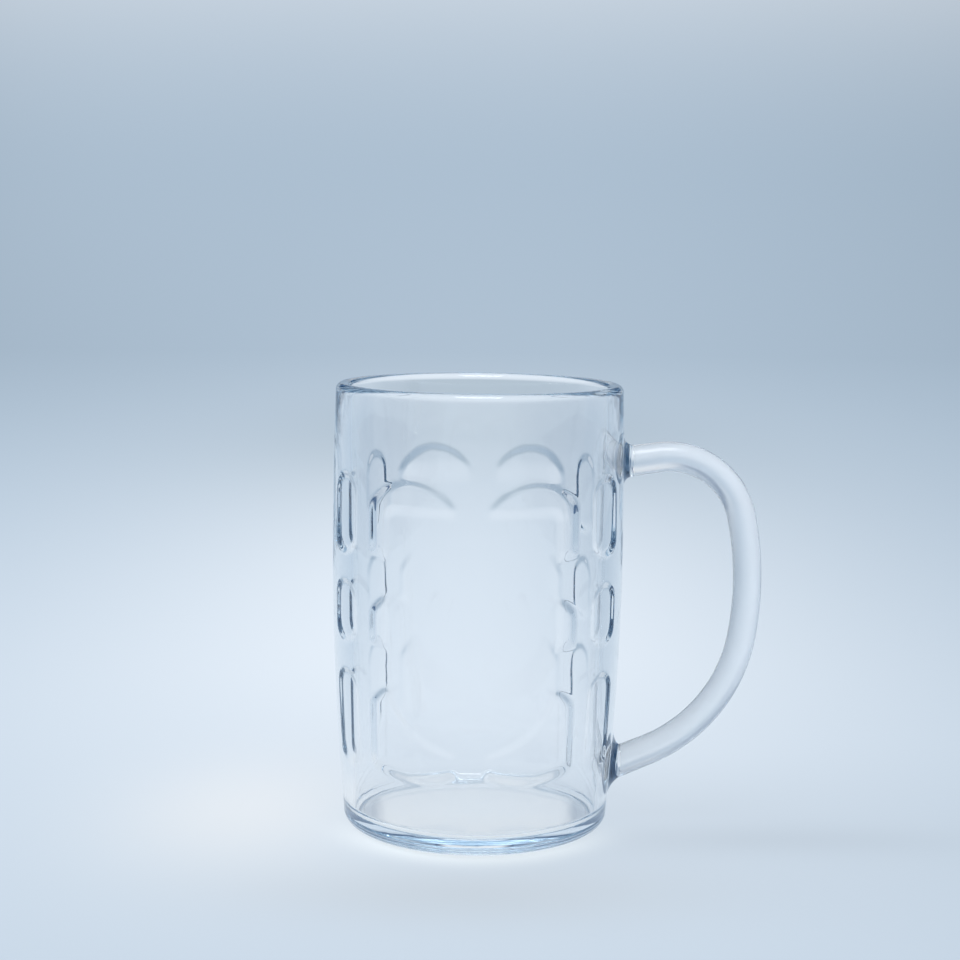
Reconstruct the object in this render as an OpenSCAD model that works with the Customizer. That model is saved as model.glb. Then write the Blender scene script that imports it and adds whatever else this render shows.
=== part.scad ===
// Clear plastic beer mug: a dimpled wall, a bonded foot and a C-shaped handle.
// Millimetres. +Z is up, the origin is the centre of the underside, the handle points along +X
// and the front panel faces -Y.

/* [Wall] */
// Overall height, from the table to the top of the lip
body_h = 140; // [128:1:160]
// Outside diameter at the rim
rim_d = 90; // [84:0.5:100]
// How far the wall swells out beyond the rim at its widest, on each side
belly_bulge = 0.8; // [0:0.1:2]
// Height of the widest part above the table
belly_z = 88; // [70:1:100]
// How far the wall draws in at its lower end, from its widest, on each side
heel_inset = 3.7; // [1:0.1:4.5]
// Wall thickness at the rim, which the lip rounds over
rim_wall = 4.4; // [3.6:0.1:5.5]
// Draft of the bore, which narrows towards the floor
bore_draft = 1; // [0.3:0.1:1.5]

/* [Dimples] */
// Depth of each dimple below the wall's outside
dimple_depth = 0.8; // [0.4:0.1:1.6]
// Angle across a wide dimple
wide_angle = 35; // [28:0.5:38]
// Angle across a narrow dimple
narrow_angle = 16.5; // [14:0.5:24]
// Angle of the plain strip between the two wide columns
mullion_angle = 13.5; // [10:0.5:16]
// Angle of the rib between a wide and a narrow column
rib_angle = 10.5; // [6:0.5:11]
// Height of the lowest row's lower edge above the table
low_row_z = 24; // [20:0.5:32]
// Height of the lowest row
low_row_h = 28.5; // [22:0.5:32]
// Height of the bar above the lowest row
low_bar_h = 10; // [5:0.5:12]
// Height of the middle row
mid_row_h = 18; // [14:0.5:20]
// Height of the bar above the middle row
high_bar_h = 9.5; // [5:0.5:11]
// Height of the top row
top_row_h = 23.3; // [18:0.1:25]
// Rise of the arch over a wide dimple
wide_rise = 7; // [2:0.5:8]
// Sag of the curved lower edge of a wide dimple
wide_sag = 2.5; // [1:0.5:4]
// Rise of the arch over a narrow dimple
narrow_rise = 6; // [2:0.5:6]
// Sag of the curved lower edge of a narrow dimple
narrow_sag = 4; // [1:0.5:5]

/* [Panel] */
// Width of the plain panel on the front and on the back
panel_w = 52.4; // [44:0.4:56]
// Height of the panel's straight top edge above the table
panel_top_z = 104.9; // [96:0.1:110]
// Height of the panel's round lower end above the table
panel_low_z = 31.4; // [28:0.1:40]
// Radius of the panel's two upper corners
panel_corner_r = 3; // [1:0.5:8]

/* [Base] */
// Height of the foot below the seam
foot_h = 4; // [4:0.5:6]
// Radius of the foot's lower edge
foot_edge_r = 3.5; // [0.5:0.1:3.8]
// How far the plug rises above the seam, up to the floor inside
plug_h = 0.8; // [0.6:0.1:4]
// Radius of the cove where the bore meets the floor inside
cove_r = 3; // [1:0.5:5]
// Gap for the adhesive around the plug and the spigots
bond_gap = 0.1; // [0.05:0.01:0.2]

/* [Handle] */
// Diameter of the round grip at its middle
grip_d = 8.9; // [8:0.1:11]
// How much thicker the grip grows towards its two ends
end_swell = 0.9; // [0:0.1:1.5]
// How far the upper joint sits below the top of the lip
upper_joint_drop = 23.8; // [20:0.2:30]
// Height of the lower joint above the table
lower_joint_z = 19.4; // [17:0.2:24]
// How far each pad stands out from the wall
pad_proud = 3; // [2:0.2:4]
// Margin of each pad's flat seat around the grip
seat_margin = 0.8; // [0.6:0.1:1.5]
// Diameter of the spigot at each end of the handle
spigot_d = 6; // [4:0.2:7]
// Length of each spigot
spigot_l = 5; // [3:0.2:6]
// Rise of the grip where it leaves the upper joint
rise_angle = 8.5; // [0:0.5:12]
// Straight run from the upper joint to the first bend
upper_run = 8; // [4:0.5:14]
// Centreline radius of the upper bend
upper_bend_r = 23.4; // [16:0.2:28]
// Turn of the upper bend
upper_bend_angle = 86; // [80:1:90]
// Turn of the long grip
grip_angle = 22; // [16:1:28]
// Turn of the lower sweep
lower_sweep_angle = 57; // [50:1:62]
// Straight run from the lower sweep to the lower joint
lower_run = 9; // [4:0.5:14]

/* [Hidden] */
$fn = 128;

clear_plastic = [0.80, 0.88, 0.96, 0.55];

// Extra length that lets a cutter pass clean through a face
through = 1;

// How far a dimple cutter starts inside the floor that it cuts
cutter_spare = 2;

// How far each pad is rooted in the wall, and each spigot in the grip
pad_root = rim_wall / 2;
spigot_root = grip_d / 4;

// Straight bands that follow the wall's curve, above and below its widest part
belly_bands = 6;

// Sides of the swept grip, and the turn between its rings in a bend
grip_sides = 28;
ring_turn = 4;

rim_r = rim_d / 2;
belly_r = rim_r + belly_bulge;
heel_r = belly_r - heel_inset;
lip_r = rim_wall / 2;
lip_z = body_h - lip_r;
bore_rim_r = rim_r - rim_wall;

// Dimple columns as turns from the front, on both sides and mirrored to the back
wide_at = (mullion_angle + wide_angle) / 2;
narrow_at = mullion_angle / 2 + wide_angle + rib_angle + narrow_angle / 2;
wide_half_w = belly_r * sin(wide_angle / 2);
narrow_half_w = belly_r * sin(narrow_angle / 2);

// Rows of dimples as lower edge and height
mid_row_z = low_row_z + low_row_h + low_bar_h;
top_row_z = mid_row_z + mid_row_h + high_bar_h;
ROWS = [[low_row_z, low_row_h], [mid_row_z, mid_row_h], [top_row_z, top_row_h]];

// Radius inside which no dimple cutter needs to reach
cutter_start_r = (heel_r - dimple_depth) * cos(wide_angle / 2) - cutter_spare;
cutter_end_r = belly_r + through;

// The floor inside, the cove round it and the opening that the plug closes
floor_z = foot_h + plug_h;
cove_top_z = floor_z + cove_r;
opening_r = bore_r(cove_top_z) - cove_r;
plug_r = opening_r - bond_gap;

// The handle's joints lie in the XZ plane
upper_joint_z = body_h - upper_joint_drop;
upper_seat_x = wall_r(upper_joint_z) + pad_proud;
lower_seat_x = wall_r(lower_joint_z) + pad_proud;
seat_r = (grip_d + end_swell) / 2 + seat_margin;
socket_r = spigot_d / 2 + bond_gap;

// Headings of the grip's centreline, in degrees from +X, at the ends of its bends
heading_0 = rise_angle;
heading_1 = heading_0 - upper_bend_angle;
heading_2 = heading_1 - grip_angle;
heading_3 = heading_2 - lower_sweep_angle;

// The long grip's and lower sweep's radii are those that bring the centreline to the lower joint
upper_seat = [upper_seat_x, upper_joint_z];
lower_seat = [lower_seat_x, lower_joint_z];
bend_start = upper_seat + upper_run * along(heading_0);
grip_start = bend_start + upper_bend_r * sweep(heading_0, heading_1);
sweep_end = lower_seat - lower_run * along(heading_3);
reach = sweep_end - grip_start;
grip_sweep = sweep(heading_1, heading_2);
lower_sweep = sweep(heading_2, heading_3);
sweep_cross = cross(grip_sweep, lower_sweep);
grip_r = cross(reach, lower_sweep) / sweep_cross;
lower_sweep_r = cross(grip_sweep, reach) / sweep_cross;
sweep_start = grip_start + grip_r * grip_sweep;

// Distances along the centreline at which its straights and bends end
bend_end_s = upper_run + arc_length(upper_bend_r, upper_bend_angle);
grip_end_s = bend_end_s + arc_length(grip_r, grip_angle);
sweep_end_s = grip_end_s + arc_length(lower_sweep_r, lower_sweep_angle);
centreline_l = sweep_end_s + lower_run;

// Outside radius of the wall at height z: one curve above the widest part and one below
function wall_r(z) = z > belly_z
    ? belly_r - belly_bulge * pow((z - belly_z) / (lip_z - belly_z), 2)
    : belly_r - heel_inset * pow((belly_z - z) / (belly_z - foot_h), 2);

// Radius of the tapered bore at height z
function bore_r(z) = bore_rim_r - (lip_z - z) * tan(bore_draft);

// Heights at which the wall's curve is sampled, from the seam up to the lip
function wall_heights() = concat(
    [for (i = [0 : belly_bands]) foot_h + (belly_z - foot_h) * i / belly_bands],
    [for (i = [1 : belly_bands]) belly_z + (lip_z - belly_z) * i / belly_bands]);

// Unit step along a heading
function along(heading) = [cos(heading), sin(heading)];

// Step made by a clockwise bend of unit radius from one heading to another
function sweep(from, to) = [sin(from) - sin(to), cos(to) - cos(from)];

// Length of a bend
function arc_length(radius, angle) = radius * angle * PI / 180;

// Point and heading on a bend, at a distance s from its start
function on_bend(start, from, radius, s) =
    let (to = from - s / arc_length(radius, 1))
    [start + radius * sweep(from, to), to];

// Point and heading on the grip's centreline, at a distance s from the upper seat
function on_grip(s) =
    s <= upper_run ? [upper_seat + s * along(heading_0), heading_0]
    : s <= bend_end_s ? on_bend(bend_start, heading_0, upper_bend_r, s - upper_run)
    : s <= grip_end_s ? on_bend(grip_start, heading_1, grip_r, s - bend_end_s)
    : s <= sweep_end_s ? on_bend(sweep_start, heading_2, lower_sweep_r, s - grip_end_s)
    : [sweep_end + (s - sweep_end_s) * along(heading_3), heading_3];

// Radius of the grip, which grows evenly from its middle to its ends
function grip_section_r(s) = (grip_d + end_swell * pow(2 * s / centreline_l - 1, 2)) / 2;

// Distances of the rings between two ends of a bend, without its start
function ring_steps(from, to, angle) =
    let (steps = ceil(angle / ring_turn))
    [for (i = [1 : steps]) from + (to - from) * i / steps];

// Distances of all rings along the centreline
function ring_distances() = concat(
    [0, upper_run],
    ring_steps(upper_run, bend_end_s, upper_bend_angle),
    ring_steps(bend_end_s, grip_end_s, grip_angle),
    ring_steps(grip_end_s, sweep_end_s, lower_sweep_angle),
    [centreline_l]);

// One ring of points across the grip: square to it, but upright where it meets a seat
function grip_ring(s) =
    let (
        station = on_grip(s),
        radius = grip_section_r(s),
        at_seat = s == 0 || s == centreline_l,
        up = at_seat ? [0, 1 / cos(station[1])] : along(station[1] + 90))
    [for (i = [0 : grip_sides - 1])
        let (
            angle = 360 * i / grip_sides,
            offset = radius * cos(angle) * up)
        [station[0][0] + offset[0], radius * sin(angle), station[0][1] + offset[1]]];

// Solid of revolution inside the wall's outside, drawn in by inset
module wall_solid(inset) {
    heights = wall_heights();
    rotate_extrude()
        polygon(concat(
            [[0, foot_h]],
            [for (z = heights) [wall_r(z) - inset, z]],
            [[0, lip_z]]));
}

// Full-round lip on top of the wall
module lip() {
    translate([0, 0, lip_z])
        rotate_extrude()
            intersection() {
                translate([rim_r - lip_r, 0])
                    circle(r = lip_r);
                translate([bore_rim_r, 0])
                    square([rim_wall, lip_r]);
            }
}

// Everything under an arch whose crown is at the origin, down to depth below its centre
module under_arch(radius, depth) {
    translate([0, -radius])
        circle(r = radius);
    translate([-radius - through, -radius - depth])
        square([2 * (radius + through), depth]);
}

// Outline of one dimple: straight sides, an arched top and a curved sill
module dimple_outline(half_w, z_low, height, rise, sag) {
    arch_r = (pow(half_w, 2) + pow(rise, 2)) / (2 * rise);
    sill_r = (pow(half_w, 2) + pow(sag, 2)) / (2 * sag);
    intersection() {
        translate([-half_w, z_low])
            square([2 * half_w, height]);
        translate([0, z_low + height])
            under_arch(arch_r, height);
        translate([0, z_low])
            rotate([0, 0, 180])
                under_arch(sill_r, height);
    }
}

// Column of dimple cutters, turned from the front about the axis
module dimple_column(turn, half_w, rise, sag) {
    rotate([0, 0, turn])
        for (row = ROWS)
            translate([0, -cutter_start_r, 0])
                rotate([90, 0, 0])
                    linear_extrude(height = cutter_end_r - cutter_start_r)
                        dimple_outline(half_w, row[0], row[1], rise, sag);
}

// Plain panel: straight top with round corners and a semicircular lower end
module panel_outline() {
    half_w = panel_w / 2;
    round_z = panel_low_z + half_w;
    corner_z = panel_top_z - panel_corner_r;
    translate([0, round_z])
        circle(r = half_w);
    translate([-half_w, round_z])
        square([panel_w, corner_z - round_z]);
    translate([panel_corner_r - half_w, round_z])
        square([panel_w - 2 * panel_corner_r, panel_top_z - round_z]);
    for (side = [-1, 1])
        translate([side * (half_w - panel_corner_r), corner_z])
            circle(r = panel_corner_r);
}

// Block that keeps the wall plain behind a panel
module panel_block(turn) {
    rotate([0, 0, turn])
        rotate([90, 0, 0])
            linear_extrude(height = cutter_end_r + through)
                panel_outline();
}

// Everything that the dimples take out of the wall
module dimples() {
    difference() {
        for (half = [0, 180], side = [-1, 1]) {
            dimple_column(half + side * wide_at, wide_half_w, wide_rise, wide_sag);
            dimple_column(half + side * narrow_at, narrow_half_w, narrow_rise, narrow_sag);
        }
        wall_solid(dimple_depth);
        for (half = [0, 180])
            panel_block(half);
    }
}

// Flared pad with a flat seat at seat, which is [x, z]
module pad(seat) {
    pad_r = seat_r + pad_proud;
    translate([seat[0], 0, seat[1]])
        rotate([0, -90, 0])
            rotate_extrude()
                difference() {
                    square([pad_r, pad_proud + pad_root]);
                    translate([pad_r, 0])
                        circle(r = pad_proud);
                }
}

// Blind socket for a spigot, open at the seat
module socket(seat) {
    translate([seat[0] - spigot_l - bond_gap, 0, seat[1]])
        rotate([0, 90, 0])
            cylinder(h = spigot_l + bond_gap + through, r = socket_r);
}

// Room inside the mug: a tapered bore, a cove round the floor and the opening below it
module bore() {
    opening_low_z = foot_h - through;
    rotate_extrude() {
        polygon([
            [0, cove_top_z],
            [bore_r(cove_top_z), cove_top_z],
            [bore_rim_r, lip_z],
            [0, lip_z]]);
        translate([opening_r, cove_top_z])
            circle(r = cove_r);
        translate([0, opening_low_z])
            square([opening_r, cove_top_z - opening_low_z]);
    }
}

// Moulded wall, open at both ends
module mug_body() {
    color(clear_plastic)
        difference() {
            union() {
                difference() {
                    wall_solid(0);
                    dimples();
                }
                lip();
                pad(upper_seat);
                pad(lower_seat);
            }
            bore();
            socket(upper_seat);
            socket(lower_seat);
        }
}

// Foot flange under the seam and the plug that closes the bore
module base_disc() {
    color(clear_plastic) {
        rotate_extrude() {
            square([heel_r - foot_edge_r, foot_h]);
            translate([0, foot_edge_r])
                square([heel_r, foot_h - foot_edge_r]);
            intersection() {
                square([heel_r, foot_edge_r]);
                translate([heel_r - foot_edge_r, foot_edge_r])
                    circle(r = foot_edge_r);
            }
        }
        cylinder(h = floor_z, r = plug_r);
    }
}

// Grip swept along its centreline, with a flat face on each seat
module grip() {
    distances = ring_distances();
    last = len(distances) - 1;
    ring_points = [for (s = distances) each grip_ring(s)];
    side_faces = [
        for (ring = [0 : last - 1], side = [0 : grip_sides - 1])
            let (
                next_side = (side + 1) % grip_sides,
                a = ring * grip_sides + side,
                b = ring * grip_sides + next_side,
                c = b + grip_sides,
                d = a + grip_sides)
            each [[a, b, c], [a, c, d]]];
    first_face = [for (side = [grip_sides - 1 : -1 : 0]) side];
    last_face = [for (side = [0 : grip_sides - 1]) last * grip_sides + side];
    polyhedron(points = ring_points, faces = concat([first_face], side_faces, [last_face]));
}

// Spigot from inside the grip to the bottom of its socket
module spigot(seat) {
    translate([seat[0] - spigot_l, 0, seat[1]])
        rotate([0, 90, 0])
            cylinder(h = spigot_l + spigot_root, d = spigot_d);
}

// Round C-shaped grip with a spigot at each end
module handle() {
    color(clear_plastic) {
        grip();
        spigot(upper_seat);
        spigot(lower_seat);
    }
}

mug_body();
base_disc();
handle();
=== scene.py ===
"""Looks of a clear plastic beer mug: dimpled wall, bonded foot and C-shaped grip.

The mug's sizes are in millimetres, and its meshes are scaled to metres when made.
The studio's sizes are in metres.
"""

import math

import bpy
import numpy as np
from mathutils import Matrix, Vector


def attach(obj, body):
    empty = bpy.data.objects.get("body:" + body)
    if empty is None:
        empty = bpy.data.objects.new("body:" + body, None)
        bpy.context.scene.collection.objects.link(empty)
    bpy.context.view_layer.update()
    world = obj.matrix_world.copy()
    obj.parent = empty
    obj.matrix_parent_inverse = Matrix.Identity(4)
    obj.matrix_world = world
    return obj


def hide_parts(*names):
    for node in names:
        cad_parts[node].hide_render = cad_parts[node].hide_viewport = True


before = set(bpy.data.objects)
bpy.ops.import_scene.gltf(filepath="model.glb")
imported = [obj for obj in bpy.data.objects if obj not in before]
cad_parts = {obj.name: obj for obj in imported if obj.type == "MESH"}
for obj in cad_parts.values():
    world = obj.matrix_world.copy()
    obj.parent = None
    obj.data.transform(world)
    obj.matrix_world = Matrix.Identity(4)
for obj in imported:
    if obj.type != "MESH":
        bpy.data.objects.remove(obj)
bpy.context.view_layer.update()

MM = 0.001

# Wall, with the same sizes as the solid
BODY_H = 140.0
RIM_R = 45.0
RIM_WALL = 4.4
BELLY_BULGE = 0.8
BELLY_Z = 88.0
HEEL_INSET = 3.7
BORE_DRAFT = math.radians(1.0)
LIP_R = RIM_WALL / 2
LIP_Z = BODY_H - LIP_R
BELLY_R = RIM_R + BELLY_BULGE

# Foot, the cove above it, and the gaps that the cement fills
FOOT_H = 4.0
FOOT_EDGE_R = 3.5
PLUG_H = 0.8
BOND_GAP = 0.1
BOND_LINE = 0.03
COVE_R = 3.0
FOOT_R = BELLY_R - HEEL_INSET
FLOOR_Z = FOOT_H + PLUG_H

# Dimple columns: angles across them and the strips between, turns from the front, depths and soft slopes
WIDE_ANGLE = math.radians(35.0)
NARROW_ANGLE = math.radians(16.5)
MULLION_ANGLE = math.radians(13.5)
RIB_ANGLE = math.radians(10.5)
WIDE_TURN = (MULLION_ANGLE + WIDE_ANGLE) / 2
NARROW_TURN = MULLION_ANGLE / 2 + WIDE_ANGLE + RIB_ANGLE + NARROW_ANGLE / 2
NARROW_DEPTH = 0.75
WIDE_DEPTH = 0.35
WIDE_EDGE_DEPTH = 0.95
SIDE_SLOPE = 2.5
ARCH_SLOPE = 2.7
CORNER_SOFTNESS = 0.12

# Rows of dimples as lower edge, height, width of the sill's slope and share of the full depth
ROWS = (
    (24.0, 28.5, 4.5, 0.8),
    (62.5, 18.0, 3.0, 0.8),
    (90.0, 23.3, 3.0, 1.0),
)

# Columns of dimples as turn from the front, angle across, rise of the arch and sag of the sill
COLUMNS_OF_DIMPLES = (
    (WIDE_TURN, WIDE_ANGLE, 7.0, 2.5),
    (NARROW_TURN, NARROW_ANGLE, 6.0, 4.0),
)

# Plain panel on the front and on the back
FRONT_PANEL_HALF_W = 26.2
BACK_PANEL_HALF_W = 29.0
PANEL_TOP_Z = 104.9
PANEL_LOW_Z = 31.4
PANEL_CORNER_R = 3.0
FRONT_PANEL_SLOPE = 3.2
BACK_PANEL_SLOPE = 9.0

# Grip and its two joints, which lie in the XZ plane
GRIP_D = 8.9
END_SWELL = 0.9
SPIGOT_R = 3.0
SPIGOT_L = 5.0
PAD_PROUD = 3.0
UPPER_PAD_STRETCH = 1.0
LOWER_PAD_STRETCH = 1.8
UPPER_JOINT_Z = 116.2
LOWER_JOINT_Z = 19.4
RISE = math.radians(8.5)
UPPER_RUN = 8.0
UPPER_BEND_R = 23.4
UPPER_BEND = math.radians(86.0)
GRIP_TURN = math.radians(22.0)
LOWER_SWEEP = math.radians(57.0)
LOWER_RUN = 9.0

# Plastic: its index, and the share of red, green and blue that ten millimetres of it pass on
PLASTIC_IOR = 1.56
WALL_PASSED = (0.955, 0.970, 0.980)
FOOT_PASSED = (0.979, 0.987, 0.993)

# Haze of the grip, its glossy skin, and the ripples in every surface, whose height is in metres
HAZE_TINT = (0.98, 0.99, 1.0, 1.0)
MILK_SHARE = 0.28
HAZE_ROUGHNESS = (0.18, 0.28)
HAZE_SCALE = 90.0
HAZE_DETAIL = 3.0
HAZE_GLOSS = 0.1
COAT_SHARE = 0.3
COAT_ROUGHNESS = 0.02
RIPPLE_SCALE = 70.0
RIPPLE_DETAIL = 2.0
RIPPLE_H = 0.06 * MM
FOOT_RIPPLE_H = 0.01 * MM

# Mesh steps of the wall, the foot and the grip
COLUMNS = 480
COLUMN_TURNS = np.arange(COLUMNS) * 2 * math.pi / COLUMNS
WALL_STEP = 0.6
LIP_STEPS = 14
BORE_STEPS = 12
COVE_STEPS = 16
FOOT_RINGS = 16
FOOT_EDGE_STEPS = 24
PLUG_RINGS = 14
CENTRE_R = 0.5
GRIP_SIDES = 64
GRIP_TURNS = np.arange(GRIP_SIDES) * 2 * math.pi / GRIP_SIDES
GRIP_STEP = 1.2
GRIP_END_BANDS = 2
SHARP_ANGLE = math.radians(50.0)

# Windows in the wall's mesh round the pads, rings of a pad, and the hold of its flare's two ends
PAD_HALF_ANGLE = math.radians(14.0)
PAD_HALF_H = 11.0
PAD_FLAT_RINGS = 4
PAD_FLARE_RINGS = 10
PAD_HOLD = 0.55 * PAD_PROUD
PAD_PROBE = 0.01

# Camera found from the photo's rim and foot ellipses, with its lens in millimetres and angles in degrees
CAMERA_LENS = 69.4
CAMERA_SENSOR = 36.0
CAMERA_CLIP = 0.01
CAMERA_PLACE = (0.0004, -0.5785, 0.1854)
CAMERA_PITCH = 7.5
CAMERA_ROLL = 0.7
CAMERA_TURN = 2.1

# Paper sweep under and behind the mug, in metres; it is narrower above the step
SWEEP_NEAR_HALF_W = 0.55
SWEEP_FAR_HALF_W = 0.98
SWEEP_WIDEN_Y = 1.5
SWEEP_FRONT_Y = -1.2
SWEEP_BEND_Y = 2.4
SWEEP_BEND_R = 0.5
SWEEP_TOP_HALF_W = 0.62
SWEEP_FADE_X = 0.40
SWEEP_STEP_Z = 0.64
SWEEP_STEP_H = 0.05
SWEEP_TOP_Z = 2.2
FLOOR_DROP = 0.0003

# Points of the sweep's mesh, closer together near the mug
SWEEP_COLUMNS = 121
EVEN_SHARE = 0.3
MUG_REACH = 0.15
FRONT_ROWS = 30
MUG_ROWS = 151
FAR_ROWS = 180

# Light of the sweep in linear colour: even all over it, plus a painted pool of light behind the mug and
# painted light rising up the backdrop
GLOW_SHARE = 0.9
BASE_LIGHT = np.array((0.411, 0.522, 0.639))
PAINTED_POOL_LIGHT = np.array((0.368, 0.325, 0.284))
POOL_X = -0.014
POOL_Y = 0.245
POOL_HALF_W = 0.226
POOL_REACH_FORWARD = 0.36
POOL_REACH_BACK = 0.83
PAINTED_RISE_LIGHT = np.array((0.115, 0.095, 0.075))
HIGH_START = 0.55
HIGH_RUN = 0.31
HIGH_LIMIT = 2.3
# Painted shade: the sweep's light is divided down away from its middle, across it, over this reach in
# metres
SIDE_FALLOFF = 2.8

# Soft spots of painted light and painted shadow on the sweep, as place across it and along it from under
# the mug, spread and added light, which is below zero for painted shadow
PAINTED_LIGHT_AND_SHADE_SPOTS = (
    # painted caustic light on the paper under the foot
    (0.0, 0.0, 0.034, 0.034, (0.035, 0.055, 0.065)),
    # painted shadow on the paper just in front of the foot
    (0.0, -0.07, 0.06, 0.025, (-0.045, -0.065, -0.09)),
    # painted pool of warm light on the paper left of the foot
    (-0.075, 0.0, 0.04, 0.06, (0.105, 0.07, 0.03)),
    # painted light high on the left of the backdrop
    (-0.85, 3.2, 0.45, 0.5, (0.045, 0.05, 0.055)),
    # painted shade on the paper about a metre behind the mug
    (0.0, 1.1, 0.19, 0.42, (-0.115, -0.115, -0.13)),
    # painted shadow on the paper right of the foot
    (0.09, -0.02, 0.06, 0.014, (-0.04, -0.045, -0.05)),
)

# Painted caustic: a bright ring of painted light on the paper in front of the foot, where the clear foot
# throws light forward
RING_R = 0.04
RING_SPREAD = 0.0075
PAINTED_RING_LIGHT = np.array((0.17, 0.16, 0.13))

# Room beyond the sweep, and the shares of a direction along an axis between which each part fades in
ROOM_DUSK = (0.045, 0.105, 0.22, 1.0)
ROOM_CEILING = (0.46, 0.55, 0.65, 1.0)
ROOM_FRONT = (0.40, 0.48, 0.56, 1.0)
ROOM_BACK = (0.62, 0.70, 0.79, 1.0)
CEILING_Z = (0.28, 0.38)
FRONT_Y = (-0.55, -0.95)
BACK_Y = (0.15, 0.5)
BACK_Z = (0.17, 0.08)

# Soft lamps as name, place, target, side, watts, colour, and whether gloss and clear plastic show them
LAMPS = (
    ("overhead_softbox", (0.0, -0.4, 1.05), (0.0, 0.0, 0.1), 0.45, 3.0, (0.96, 0.98, 1.0), True),
    ("left_softbox", (-1.1, 0.1, 0.8), (0.0, 0.0, 0.05), 0.9, 24.0, (0.96, 0.98, 1.0), False),
    ("right_softbox", (0.6, -0.85, 0.15), (0.08, 0.0, 0.07), 0.5, 6.5, (0.93, 0.97, 1.0), False),
)

# Bounces of light, enough for the many turns that a ray makes inside the plastic
BOUNCES = 96


def smooth_step(t):
    """Soft step from 0 to 1."""
    t = np.clip(t, 0.0, 1.0)
    return t * t * (3 - 2 * t)


def soft_min(*values):
    """Least of several values, with rounded corners where two are alike."""
    total = sum(np.exp(-v / CORNER_SOFTNESS) for v in values)
    return -CORNER_SOFTNESS * np.log(total)


def wall_r(z):
    """Outside radius of the plain wall at height z."""
    above = (z - BELLY_Z) / (LIP_Z - BELLY_Z)
    below = (BELLY_Z - z) / (BELLY_Z - FOOT_H)
    return BELLY_R - np.where(z > BELLY_Z, BELLY_BULGE * above**2, HEEL_INSET * below**2)


def bore_r(z):
    """Radius of the tapered bore at height z."""
    return RIM_R - RIM_WALL - (LIP_Z - z) * math.tan(BORE_DRAFT)


def cove_profile():
    """Points (radius, height) of the cove from the bore down to the opening that the plug closes."""
    centre_r = bore_r(FLOOR_Z + COVE_R) - COVE_R
    angles = np.linspace(0, -math.pi / 2, COVE_STEPS)
    return [(centre_r + COVE_R * math.cos(a), FLOOR_Z + COVE_R + COVE_R * math.sin(a)) for a in angles]


def dimple_share(u, z, half_w, rise, sag, row):
    """How far one dimple is sunk at a point, from 0 on the wall to its row's share on its floor."""
    low, height, sill_slope, depth_share = row
    arch_r = (half_w**2 + rise**2) / (2 * rise)
    sill_r = (half_w**2 + sag**2) / (2 * sag)
    side = (half_w - np.abs(u)) / SIDE_SLOPE
    arch = (arch_r - np.hypot(u, np.maximum(z - (low + height - arch_r), 0))) / ARCH_SLOPE
    sill = (sill_r - np.hypot(u, np.maximum(low + sill_r - z, 0))) / sill_slope
    return depth_share * smooth_step(soft_min(side, arch, sill) + 0.5)


def panel_share(u, z, half_w, slope):
    """1 on the plain panel, 0 outside it."""
    round_z = PANEL_LOW_Z + half_w
    side = PANEL_CORNER_R - (half_w - np.abs(u))
    top = PANEL_CORNER_R - (PANEL_TOP_Z - z)
    corner = np.hypot(np.maximum(side, 0), np.maximum(top, 0))
    upper = PANEL_CORNER_R - corner - np.minimum(np.maximum(side, top), 0)
    lower = half_w - np.hypot(u, z - round_z)
    inside = np.where(z > round_z, upper, lower)
    return smooth_step(inside / slope + 0.5)


def column_depth(at, turn):
    """Depth of a column's dimples; the wide ones are scooped deeper towards their outer edges."""
    if at == NARROW_TURN:
        return NARROW_DEPTH
    scoop = smooth_step((np.abs(turn) - WIDE_TURN) / (WIDE_ANGLE / 2))
    return WIDE_DEPTH + (WIDE_EDGE_DEPTH - WIDE_DEPTH) * scoop


def outer_r(turn, z):
    """Outside radius with dimples and panels, at a turn from the front and a height."""
    plain = wall_r(z)
    sunk = np.zeros_like(plain)
    panels = (
        (0.0, FRONT_PANEL_HALF_W, FRONT_PANEL_SLOPE),
        (math.pi, BACK_PANEL_HALF_W, BACK_PANEL_SLOPE),
    )
    for half, panel_half_w, slope in panels:
        local = (turn - half + math.pi) % (2 * math.pi) - math.pi
        facing = np.abs(local) < math.pi / 2
        open_share = facing * (1 - panel_share(plain * np.sin(local), z, panel_half_w, slope))
        for side in (-1, 1):
            for at, angle, rise, sag in COLUMNS_OF_DIMPLES:
                off = local - side * at
                half_w = BELLY_R * math.sin(angle / 2)
                for row in ROWS:
                    share = dimple_share(plain * np.sin(off), z, half_w, rise, sag, row)
                    sunk = np.maximum(sunk, share * open_share * column_depth(at, local))
    return plain - sunk


def round_points(turn, radius, z):
    """Points at turns from the front (-Y) towards +X."""
    return np.stack([radius * np.sin(turn), -radius * np.cos(turn), z], axis=-1)


def add_mesh(name, points, faces, bonded, materials):
    """Mesh object from points in millimetres; bonded says which faces are glued."""
    mesh = bpy.data.meshes.new(name)
    mesh.from_pydata((np.asarray(points) * MM).tolist(), [], faces)
    for material in materials:
        mesh.materials.append(material)
    mesh.polygons.foreach_set("material_index", np.asarray(bonded, dtype=np.int32))
    mesh.polygons.foreach_set("use_smooth", np.ones(len(faces), dtype=bool))
    mesh.set_sharp_from_angle(angle=SHARP_ANGLE)
    mesh.validate()
    piece = bpy.data.objects.new(name, mesh)
    bpy.context.collection.objects.link(piece)
    return piece


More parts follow.
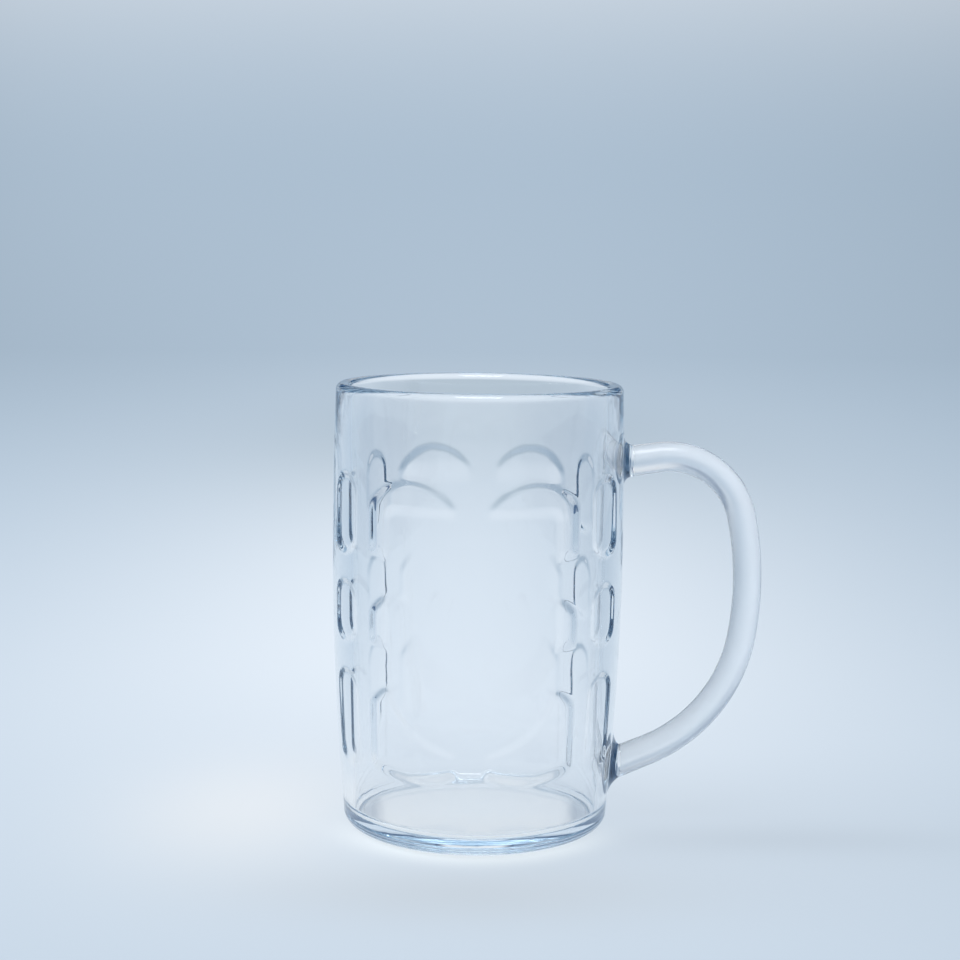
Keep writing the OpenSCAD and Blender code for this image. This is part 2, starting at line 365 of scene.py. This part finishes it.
class Shell:
    """Points, faces and glued flags of one piece while it is built from rings."""

    def __init__(self):
        self.points = []
        self.faces = []
        self.bonded = []

    def ring(self, ring_points):
        """Add a ring of points and return their numbers."""
        start = len(self.points)
        self.points.extend(np.asarray(ring_points).tolist())
        return list(range(start, len(self.points)))

    def face(self, corners, bonded=False):
        """Add one face."""
        self.faces.append(corners)
        self.bonded.append(bonded)

    def band(self, lower, upper, bonded=False, skip=()):
        """Quads between two rings, outside to the right of the ring's direction."""
        count = len(lower)
        for i in range(count):
            if i not in skip:
                j = (i + 1) % count
                self.face([lower[i], lower[j], upper[j], upper[i]], bonded)

    def cap(self, ring, bonded=False):
        """Close a ring with one face."""
        self.face(list(ring), bonded)


def along(heading):
    """Unit step along a heading in the XZ plane."""
    return np.array([math.cos(heading), math.sin(heading)])


def bend_step(start, end):
    """Step made by a clockwise bend of unit radius from one heading to another."""
    return np.array([math.sin(start) - math.sin(end), math.cos(end) - math.cos(start)])


def cross(a, b):
    """Cross product in the plane."""
    return a[0] * b[1] - a[1] * b[0]


class Centreline:
    """The grip's centreline: two straights and three bends between the seats."""

    def __init__(self):
        self.upper_seat = np.array([float(wall_r(UPPER_JOINT_Z)) + PAD_PROUD, UPPER_JOINT_Z])
        self.lower_seat = np.array([float(wall_r(LOWER_JOINT_Z)) + PAD_PROUD, LOWER_JOINT_Z])
        h0 = RISE
        h1 = h0 - UPPER_BEND
        h2 = h1 - GRIP_TURN
        h3 = h2 - LOWER_SWEEP
        self.first_heading = h0
        self.last_heading = h3
        bend_start = self.upper_seat + UPPER_RUN * along(h0)
        grip_start = bend_start + UPPER_BEND_R * bend_step(h0, h1)
        self.sweep_end = self.lower_seat - LOWER_RUN * along(h3)
        reach = self.sweep_end - grip_start
        whole = cross(bend_step(h1, h2), bend_step(h2, h3))
        grip_r = cross(reach, bend_step(h2, h3)) / whole
        sweep_r = cross(bend_step(h1, h2), reach) / whole
        sweep_start = grip_start + grip_r * bend_step(h1, h2)
        self.bends = (
            (bend_start, h0, UPPER_BEND_R, UPPER_BEND),
            (grip_start, h1, grip_r, GRIP_TURN),
            (sweep_start, h2, sweep_r, LOWER_SWEEP),
        )
        self.length = UPPER_RUN + LOWER_RUN + sum(r * turn for _, _, r, turn in self.bends)

    def at(self, s):
        """Point and heading at a distance from the upper seat."""
        if s <= UPPER_RUN:
            return self.upper_seat + s * along(self.first_heading), self.first_heading
        left = s - UPPER_RUN
        for start, heading, radius, turn in self.bends:
            if left <= radius * turn:
                end = heading - left / radius
                return start + radius * bend_step(heading, end), end
            left -= radius * turn
        return self.sweep_end + left * along(self.last_heading), self.last_heading

    def radius(self, s):
        """Radius of the grip, which grows evenly from its middle to its ends."""
        return (GRIP_D + END_SWELL * (2 * s / self.length - 1) ** 2) / 2


def bezier(p0, p1, p2, p3, t):
    """Point on a cubic curve."""
    return (1 - t) ** 3 * p0 + 3 * t * (1 - t) ** 2 * p1 + 3 * t**2 * (1 - t) * p2 + t**3 * p3


def add_pad(shell, border, seat, outward, grip_r, stretch):
    """Close a window in the wall with a flared pad, its flat seat and its blind socket.

    The flare reaches as far as the pad stands proud, times stretch above and below.
    """
    edge = np.array([shell.points[i] for i in border])
    side, rise = edge[:, 1], edge[:, 2] - seat[1]
    phi = np.arctan2(rise, side)
    tall_r = grip_r / math.cos(outward)
    seat_rho = 1 / np.hypot(np.cos(phi) / grip_r, np.sin(phi) / tall_r)
    foot_rho = seat_rho + PAD_PROUD * (1 + (stretch - 1) * np.sin(phi) ** 2)

    def on_wall(y, dz):
        """Points on the plain wall, beside and above the seat's middle."""
        z = seat[1] + dz
        return np.stack([np.sqrt(wall_r(z) ** 2 - y**2), y, z], axis=-1)

    def in_seat(rho, depth=0.0):
        """Ring in the seat's plane or at a depth behind it."""
        x = np.full_like(phi, seat[0] - BOND_LINE - depth)
        return np.stack([x, rho * np.cos(phi), seat[1] + rho * np.sin(phi)], axis=-1)

    last = border
    for k in range(1, PAD_FLAT_RINGS + 1):
        t = k / PAD_FLAT_RINGS
        y = (1 - t) * side + t * foot_rho * np.cos(phi)
        dz = (1 - t) * rise + t * foot_rho * np.sin(phi)
        ring = shell.ring(on_wall(y, dz))
        shell.band(last, ring)
        last = ring
    foot = on_wall(foot_rho * np.cos(phi), foot_rho * np.sin(phi))
    inner = on_wall((foot_rho - PAD_PROBE) * np.cos(phi), (foot_rho - PAD_PROBE) * np.sin(phi))
    foot_dir = (foot - inner) / np.linalg.norm(foot - inner, axis=1, keepdims=True)
    top = in_seat(seat_rho)
    top_dir = -np.array([math.cos(outward), 0.0, math.sin(outward)])
    for k in range(1, PAD_FLARE_RINGS + 1):
        t = k / PAD_FLARE_RINGS
        ring = shell.ring(bezier(foot, foot - PAD_HOLD * foot_dir, top + PAD_HOLD * top_dir, top, t))
        shell.band(last, ring)
        last = ring
    socket_r = np.full_like(phi, SPIGOT_R + BOND_GAP)
    for depth in (0.0, SPIGOT_L + BOND_GAP):
        ring = shell.ring(in_seat(socket_r, depth))
        shell.band(last, ring, bonded=True)
        last = ring
    shell.cap(last, bonded=True)


def round_ring(shell, radius, z):
    """Ring round the mug's axis at one height; the radius is one number, or one for each column."""
    return shell.ring(round_points(COLUMN_TURNS, radius, np.full(COLUMNS, z)))


def mug_wall(line, materials):
    """Dimpled wall with its lip, bore and two handle pads."""
    shell = Shell()
    steps = round((LIP_Z - FOOT_H) / WALL_STEP)
    heights = np.linspace(FOOT_H + BOND_LINE, LIP_Z, steps + 1)
    rings = [round_ring(shell, outer_r(COLUMN_TURNS, np.full(COLUMNS, z)), z) for z in heights]
    joints = (
        (line.upper_seat, line.first_heading, line.radius(0.0), UPPER_PAD_STRETCH),
        (line.lower_seat, line.last_heading + math.pi, line.radius(line.length), LOWER_PAD_STRETCH),
    )
    half_columns = round(PAD_HALF_ANGLE / (2 * math.pi) * COLUMNS)
    first = COLUMNS // 4 - half_columns
    last = COLUMNS // 4 + half_columns
    windows = []
    for seat, _, _, _ in joints:
        low = int(np.argmin(np.abs(heights - (seat[1] - PAD_HALF_H))))
        high = int(np.argmin(np.abs(heights - (seat[1] + PAD_HALF_H))))
        windows.append((low, high))
    for i in range(steps):
        in_window = any(low <= i < high for low, high in windows)
        shell.band(rings[i], rings[i + 1], skip=range(first, last) if in_window else ())
    for (low, high), joint in zip(windows, joints):
        border = [rings[low][j] for j in range(first, last)]
        border += [rings[i][last] for i in range(low, high)]
        border += [rings[high][j] for j in range(last, first, -1)]
        border += [rings[i][first] for i in range(high, low, -1)]
        add_pad(shell, border, *joint)
    ring = rings[-1]
    for k in range(1, LIP_STEPS):
        angle = math.pi * k / LIP_STEPS
        radius = RIM_R - LIP_R + LIP_R * math.cos(angle)
        upper = round_ring(shell, radius, LIP_Z + LIP_R * math.sin(angle))
        shell.band(ring, upper)
        ring = upper
    cove = cove_profile()
    bore_heights = np.linspace(LIP_Z, FLOOR_Z + COVE_R, BORE_STEPS + 1)[:-1]
    for radius, z in [(bore_r(z), z) for z in bore_heights] + cove:
        lower = round_ring(shell, radius, z)
        shell.band(ring, lower)
        ring = lower
    lower = round_ring(shell, cove[-1][0], heights[0])
    shell.band(ring, lower, bonded=True)
    shell.band(lower, rings[0], bonded=True)
    return add_mesh("mug_wall", shell.points, shell.faces, shell.bonded, materials)


def lower_edge():
    """Points (radius, height) of the foot's rounded lower edge, from the underside up."""
    angles = np.linspace(-math.pi / 2, 0, FOOT_EDGE_STEPS)
    centre_r = FOOT_R - FOOT_EDGE_R
    return [(centre_r + FOOT_EDGE_R * math.cos(a), FOOT_EDGE_R * (1 + math.sin(a))) for a in angles]


def mug_foot(materials):
    """Foot flange with a rounded lower edge and the plug that closes the bore."""
    plug_r = cove_profile()[-1][0] - BOND_GAP
    profile = [(r, 0.0) for r in np.linspace(CENTRE_R, FOOT_R - FOOT_EDGE_R, FOOT_RINGS)[:-1]]
    profile += lower_edge()
    profile += [(FOOT_R, FOOT_H)]
    free_rings = len(profile)
    profile += [(plug_r, FOOT_H), (plug_r, FLOOR_Z)]
    profile += [(r, FLOOR_Z) for r in np.linspace(plug_r, CENTRE_R, PLUG_RINGS)[1:]]
    shell = Shell()
    rings = [round_ring(shell, r, z) for r, z in profile]
    for i in range(len(rings) - 1):
        bonded = i in (free_rings - 1, free_rings)
        shell.band(rings[i], rings[i + 1], bonded)
    shell.cap(rings[0][::-1])
    shell.cap(rings[-1])
    return add_mesh("mug_foot", shell.points, shell.faces, shell.bonded, materials)


def grip_ring(line, s, upright):
    """Ring of points across the grip, upright where it meets a seat."""
    place, heading = line.at(s)
    radius = line.radius(s)
    up = np.array([0.0, 1 / math.cos(heading)]) if upright else along(heading + math.pi / 2)
    offset = radius * np.cos(GRIP_TURNS)[:, None] * up
    side = radius * np.sin(GRIP_TURNS)
    return np.stack([place[0] + offset[:, 0], side, place[1] + offset[:, 1]], axis=-1)


def spigot_ring(seat, depth, turned):
    """Ring round a spigot, at a depth behind its seat, turned over at the lower end of the grip."""
    up = -SPIGOT_R if turned else SPIGOT_R
    x = np.full(GRIP_SIDES, seat[0] - depth)
    return np.stack([x, SPIGOT_R * np.sin(GRIP_TURNS), seat[1] + up * np.cos(GRIP_TURNS)], axis=-1)


def mug_grip(line, materials):
    """Round C-shaped grip with a spigot at each end."""
    shell = Shell()
    count = round(line.length / GRIP_STEP)
    rings = [
        shell.ring(spigot_ring(line.upper_seat, SPIGOT_L, False)),
        shell.ring(spigot_ring(line.upper_seat, 0.0, False)),
    ]
    for i in range(count + 1):
        rings.append(shell.ring(grip_ring(line, line.length * i / count, i in (0, count))))
    rings.append(shell.ring(spigot_ring(line.lower_seat, 0.0, True)))
    rings.append(shell.ring(spigot_ring(line.lower_seat, SPIGOT_L, True)))
    for i in range(len(rings) - 1):
        at_end = min(i, len(rings) - 2 - i) < GRIP_END_BANDS
        shell.band(rings[i + 1], rings[i], bonded=at_end)
    shell.cap(rings[0], bonded=True)
    shell.cap(rings[-1][::-1], bonded=True)
    return add_mesh("mug_grip", shell.points, shell.faces, shell.bonded, materials)


def node_input(node, name, value):
    """Set one of a node's own values."""
    node.inputs[name].default_value = value


def new_material(name):
    """Empty material, its nodes and its links."""
    material = bpy.data.materials.new(name)
    material.use_nodes = True
    material.node_tree.nodes.clear()
    return material, material.node_tree.nodes, material.node_tree.links


def show(nodes, links, shader):
    """Let a shader be the surface of its material."""
    output = nodes.new("ShaderNodeOutputMaterial")
    links.new(shader.outputs["BSDF"], output.inputs["Surface"])


def noise(nodes, links, scale, detail):
    """Noise in the piece's own metres."""
    place = nodes.new("ShaderNodeTexCoord")
    texture = nodes.new("ShaderNodeTexNoise")
    node_input(texture, "Scale", scale)
    node_input(texture, "Detail", detail)
    links.new(place.outputs["Object"], texture.inputs["Vector"])
    return texture.outputs["Fac"]


def ripple(nodes, links, shader, height):
    """Slow waves that the mould's flow leaves in a surface; height is in metres."""
    bump = nodes.new("ShaderNodeBump")
    node_input(bump, "Strength", 1.0)
    node_input(bump, "Distance", height)
    links.new(noise(nodes, links, RIPPLE_SCALE, RIPPLE_DETAIL), bump.inputs["Height"])
    links.new(bump.outputs["Normal"], shader.inputs["Normal"])


def depth_tint(nodes, links, passed_by_10mm):
    """Colour left of a ray after its way inside the plastic; a ray from outside stays white."""
    path = nodes.new("ShaderNodeLightPath")
    face = nodes.new("ShaderNodeNewGeometry")
    inside = nodes.new("ShaderNodeMath")
    inside.operation = "MULTIPLY"
    links.new(path.outputs["Ray Length"], inside.inputs[0])
    links.new(face.outputs["Backfacing"], inside.inputs[1])
    tens = nodes.new("ShaderNodeMath")
    tens.operation = "DIVIDE"
    links.new(inside.outputs[0], tens.inputs[0])
    tens.inputs[1].default_value = 10 * MM
    colour = nodes.new("ShaderNodeCombineColor")
    for channel, passed in zip(("Red", "Green", "Blue"), passed_by_10mm):
        left = nodes.new("ShaderNodeMath")
        left.operation = "POWER"
        left.inputs[0].default_value = passed
        links.new(tens.outputs[0], left.inputs[1])
        links.new(left.outputs[0], colour.inputs[channel])
    return colour.outputs["Color"]


def clear_plastic(name, passed_by_10mm, ripple_h):
    """Clear moulded plastic, which turns blue only where a ray goes a long way inside it."""
    material, nodes, links = new_material(name)
    shader = nodes.new("ShaderNodeBsdfGlass")
    links.new(depth_tint(nodes, links, passed_by_10mm), shader.inputs["Color"])
    node_input(shader, "IOR", PLASTIC_IOR)
    node_input(shader, "Roughness", 0.0)
    ripple(nodes, links, shader, ripple_h)
    show(nodes, links, shader)
    return material


def hazy_plastic():
    """Milky moulded plastic with a glossy skin and uneven haze."""
    material, nodes, links = new_material("hazy_plastic")
    shader = nodes.new("ShaderNodeBsdfPrincipled")
    node_input(shader, "Transmission Weight", 1 - MILK_SHARE)
    node_input(shader, "IOR", PLASTIC_IOR)
    node_input(shader, "Base Color", HAZE_TINT)
    node_input(shader, "Specular IOR Level", HAZE_GLOSS)
    node_input(shader, "Coat Weight", COAT_SHARE)
    node_input(shader, "Coat IOR", PLASTIC_IOR)
    node_input(shader, "Coat Roughness", COAT_ROUGHNESS)
    haze = nodes.new("ShaderNodeMapRange")
    node_input(haze, "To Min", HAZE_ROUGHNESS[0])
    node_input(haze, "To Max", HAZE_ROUGHNESS[1])
    links.new(noise(nodes, links, HAZE_SCALE, HAZE_DETAIL), haze.inputs["Value"])
    links.new(haze.outputs["Result"], shader.inputs["Roughness"])
    ripple(nodes, links, shader, RIPPLE_H)
    show(nodes, links, shader)
    return material


def cement():
    """Clear cement in the bonded joints, which has the plastic's own index and so can't be seen."""
    material, nodes, links = new_material("clear_cement")
    show(nodes, links, nodes.new("ShaderNodeBsdfTransparent"))
    return material


def sweep_light(x, run):
    """Colour of the sweep at a place across it and along it from the bend, in linear light, with its
    painted light and painted shade.
    """
    y = SWEEP_BEND_Y + run
    reach = np.where(y < POOL_Y, POOL_REACH_FORWARD, POOL_REACH_BACK)
    pool = 1 / (1 + ((y - POOL_Y) / reach) ** 2 + ((x - POOL_X) / POOL_HALF_W) ** 2)
    high = np.clip((run - HIGH_START) / HIGH_RUN, 0, HIGH_LIMIT) ** 2
    ring = np.exp(-(((np.hypot(x, y) - RING_R) / RING_SPREAD) ** 2)) * smooth_step(-y / RING_R)
    light = BASE_LIGHT + pool[:, None] * PAINTED_POOL_LIGHT + high[:, None] * PAINTED_RISE_LIGHT
    light = light + ring[:, None] * PAINTED_RING_LIGHT
    for at_x, at_y, spread_x, spread_y, added in PAINTED_LIGHT_AND_SHADE_SPOTS:
        share = np.exp(-(((x - at_x) / spread_x) ** 2) - ((y - at_y) / spread_y) ** 2)
        light = light + share[:, None] * np.array(added)
    return np.clip(light / (1 + (x / SIDE_FALLOFF) ** 2)[:, None], 0.0, 1.0)


def sweep_place(run):
    """Point (y, z) of the sweep at a distance along it from the start of its bend."""
    bend = SWEEP_BEND_R * math.pi / 2
    if run <= 0:
        return SWEEP_BEND_Y + run, 0.0
    if run < bend:
        angle = run / SWEEP_BEND_R
        return SWEEP_BEND_Y + SWEEP_BEND_R * math.sin(angle), SWEEP_BEND_R * (1 - math.cos(angle))
    return SWEEP_BEND_Y + SWEEP_BEND_R, SWEEP_BEND_R + run - bend


def sweep_material():
    """Matte paper that also glows in its own colour with its painted light and painted shade, for
    camera, glossy and transmitted rays only.
    """
    material, nodes, links = new_material("paper_sweep")
    paper_and_painted_light = nodes.new("ShaderNodeAttribute")
    paper_and_painted_light.attribute_name = "paper_and_painted_light"
    paper = nodes.new("ShaderNodeBsdfDiffuse")
    glow = nodes.new("ShaderNodeEmission")
    path = nodes.new("ShaderNodeLightPath")
    mix = nodes.new("ShaderNodeMixShader")
    output = nodes.new("ShaderNodeOutputMaterial")
    links.new(paper_and_painted_light.outputs["Color"], paper.inputs["Color"])
    links.new(paper_and_painted_light.outputs["Color"], glow.inputs["Color"])
    seen = path.outputs["Is Camera Ray"]
    for ray in ("Is Glossy Ray", "Is Transmission Ray"):
        either = nodes.new("ShaderNodeMath")
        either.operation = "MAXIMUM"
        links.new(seen, either.inputs[0])
        links.new(path.outputs[ray], either.inputs[1])
        seen = either.outputs[0]
    share = nodes.new("ShaderNodeMath")
    share.operation = "MULTIPLY"
    share.inputs[1].default_value = GLOW_SHARE
    links.new(seen, share.inputs[0])
    links.new(share.outputs[0], mix.inputs["Fac"])
    links.new(paper.outputs["BSDF"], mix.inputs[1])
    links.new(glow.outputs["Emission"], mix.inputs[2])
    links.new(mix.outputs["Shader"], output.inputs["Surface"])
    return material


def add_sweep():
    """Pale paper sweep that bends up behind the mug, with painted shade that fades it into the room's
    dusk beside its narrow top.
    """
    wall_run = SWEEP_BEND_R * math.pi / 2 + SWEEP_TOP_Z - SWEEP_BEND_R
    front = np.linspace(SWEEP_FRONT_Y, -MUG_REACH, FRONT_ROWS)
    near = np.linspace(-MUG_REACH, MUG_REACH, MUG_ROWS)
    far = np.linspace(MUG_REACH, SWEEP_BEND_Y + wall_run, FAR_ROWS)
    runs = np.concatenate([front, near[1:], far[1:]]) - SWEEP_BEND_Y
    even = np.linspace(-1, 1, SWEEP_COLUMNS)
    spread = EVEN_SHARE * even + (1 - EVEN_SHARE) * even**3
    points = []
    light = []
    for run in runs:
        y, z = sweep_place(run)
        above = smooth_step((z - SWEEP_STEP_Z) / SWEEP_STEP_H)
        widened = smooth_step(y / SWEEP_WIDEN_Y)
        half_w = SWEEP_NEAR_HALF_W + (SWEEP_FAR_HALF_W - SWEEP_NEAR_HALF_W) * widened
        half_w += (SWEEP_TOP_HALF_W - half_w) * above
        across = half_w * spread
        points += [(x, y, z - FLOOR_DROP) for x in across]
        # Painted shade: beside the narrow top the paper's colour fades to the room's dusk
        outer = (np.abs(across) - SWEEP_FADE_X) / (SWEEP_TOP_HALF_W - SWEEP_FADE_X)
        dusk = above * smooth_step(outer)
        paper = sweep_light(across, np.full_like(across, run))
        light.append(paper + dusk[:, None] * (np.array(ROOM_DUSK[:3]) - paper))
    rows = np.arange(len(points)).reshape(len(runs), SWEEP_COLUMNS)
    corners = (rows[:-1, :-1], rows[:-1, 1:], rows[1:, 1:], rows[1:, :-1])
    faces = np.stack(corners, axis=-1).reshape(-1, 4).tolist()
    mesh = bpy.data.meshes.new("paper_sweep")
    mesh.from_pydata(points, [], faces)
    # The paper's colour at each point, with its painted light and painted shade
    paper_and_painted_light = mesh.attributes.new("paper_and_painted_light", "FLOAT_COLOR", "POINT")
    colours = np.concatenate(light)
    paper_and_painted_light.data.foreach_set("color", np.column_stack([colours, np.ones(len(colours))]).ravel())
    mesh.polygons.foreach_set("use_smooth", np.ones(len(faces), dtype=bool))
    mesh.materials.append(sweep_material())
    floor = bpy.data.objects.new("paper_sweep", mesh)
    floor.rotation_euler.z = math.radians(CAMERA_TURN)
    bpy.context.collection.objects.link(floor)


def add_softbox(name, place, target, side, power, colour, shown):
    """Square soft lamp that faces a target; metres and watts."""
    lamp = bpy.data.lights.new(name, "AREA")
    lamp.shape = "SQUARE"
    lamp.size = side
    lamp.energy = power
    lamp.color = colour
    holder = bpy.data.objects.new(name, lamp)
    holder.location = place
    holder.rotation_euler = (Vector(target) - Vector(place)).to_track_quat("-Z", "Y").to_euler()
    holder.visible_glossy = shown
    holder.visible_transmission = shown
    bpy.context.collection.objects.link(holder)


def add_world():
    """Dim blue room with a pale ceiling, a pale low back wall and a lighter front."""
    world = bpy.data.worlds.new("studio_room")
    bpy.context.scene.world = world
    world.use_nodes = True
    nodes, links = world.node_tree.nodes, world.node_tree.links
    place = nodes.new("ShaderNodeTexCoord")
    split = nodes.new("ShaderNodeSeparateXYZ")
    links.new(place.outputs["Generated"], split.inputs["Vector"])

    def ramp(axis, start, end):
        """0 to 1 as the direction's share along an axis goes from start to end."""
        node = nodes.new("ShaderNodeMapRange")
        node_input(node, "From Min", start)
        node_input(node, "From Max", end)
        links.new(split.outputs[axis], node.inputs["Value"])
        return node.outputs["Result"]

    def both(first, second):
        """Product of two shares."""
        node = nodes.new("ShaderNodeMath")
        node.operation = "MULTIPLY"
        links.new(first, node.inputs[0])
        links.new(second, node.inputs[1])
        return node.outputs[0]

    walls = (
        (ramp("Z", *CEILING_Z), ROOM_CEILING),
        (ramp("Y", *FRONT_Y), ROOM_FRONT),
        (both(ramp("Y", *BACK_Y), ramp("Z", *BACK_Z)), ROOM_BACK),
    )
    colour = None
    for share, paint in walls:
        mix = nodes.new("ShaderNodeMix")
        mix.data_type = "RGBA"
        mix.inputs["A"].default_value = ROOM_DUSK
        mix.inputs["B"].default_value = paint
        if colour:
            links.new(colour, mix.inputs["A"])
        links.new(share, mix.inputs["Factor"])
        colour = mix.outputs["Result"]
    links.new(colour, nodes["Background"].inputs["Color"])


def add_camera():
    """Camera at the photo's viewing angle."""
    camera = bpy.data.cameras.new("photo_camera")
    camera.lens = CAMERA_LENS
    camera.sensor_width = CAMERA_SENSOR
    camera.clip_start = CAMERA_CLIP
    holder = bpy.data.objects.new("photo_camera", camera)
    bpy.context.collection.objects.link(holder)
    turn = Matrix.Rotation(math.radians(CAMERA_TURN), 4, "Z")
    pitch = Matrix.Rotation(math.radians(90 - CAMERA_PITCH), 4, "X")
    roll = Matrix.Rotation(math.radians(CAMERA_ROLL), 4, "Z")
    holder.matrix_world = turn @ Matrix.Translation(CAMERA_PLACE) @ pitch @ roll
    bpy.context.scene.camera = holder


def dress(piece, node):
    """Put a piece in the place of its solid."""
    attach(piece, "root")
    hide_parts(node)


add_camera()
add_world()
add_sweep()
for lamp in LAMPS:
    add_softbox(*lamp)

bond = cement()
clear = clear_plastic("clear_plastic", WALL_PASSED, RIPPLE_H)
clear_foot = clear_plastic("clear_foot_plastic", FOOT_PASSED, FOOT_RIPPLE_H)
hazy = hazy_plastic()
centreline = Centreline()
dress(mug_wall(centreline, (clear, bond)), "mug_body")
dress(mug_foot((clear_foot, bond)), "base_disc")
dress(mug_grip(centreline, (hazy, bond)), "handle")

bpy.context.scene.view_settings.view_transform = "Standard"

cycles = bpy.context.scene.cycles
cycles.max_bounces = BOUNCES
cycles.transmission_bounces = BOUNCES
cycles.glossy_bounces = BOUNCES
cycles.transparent_max_bounces = BOUNCES
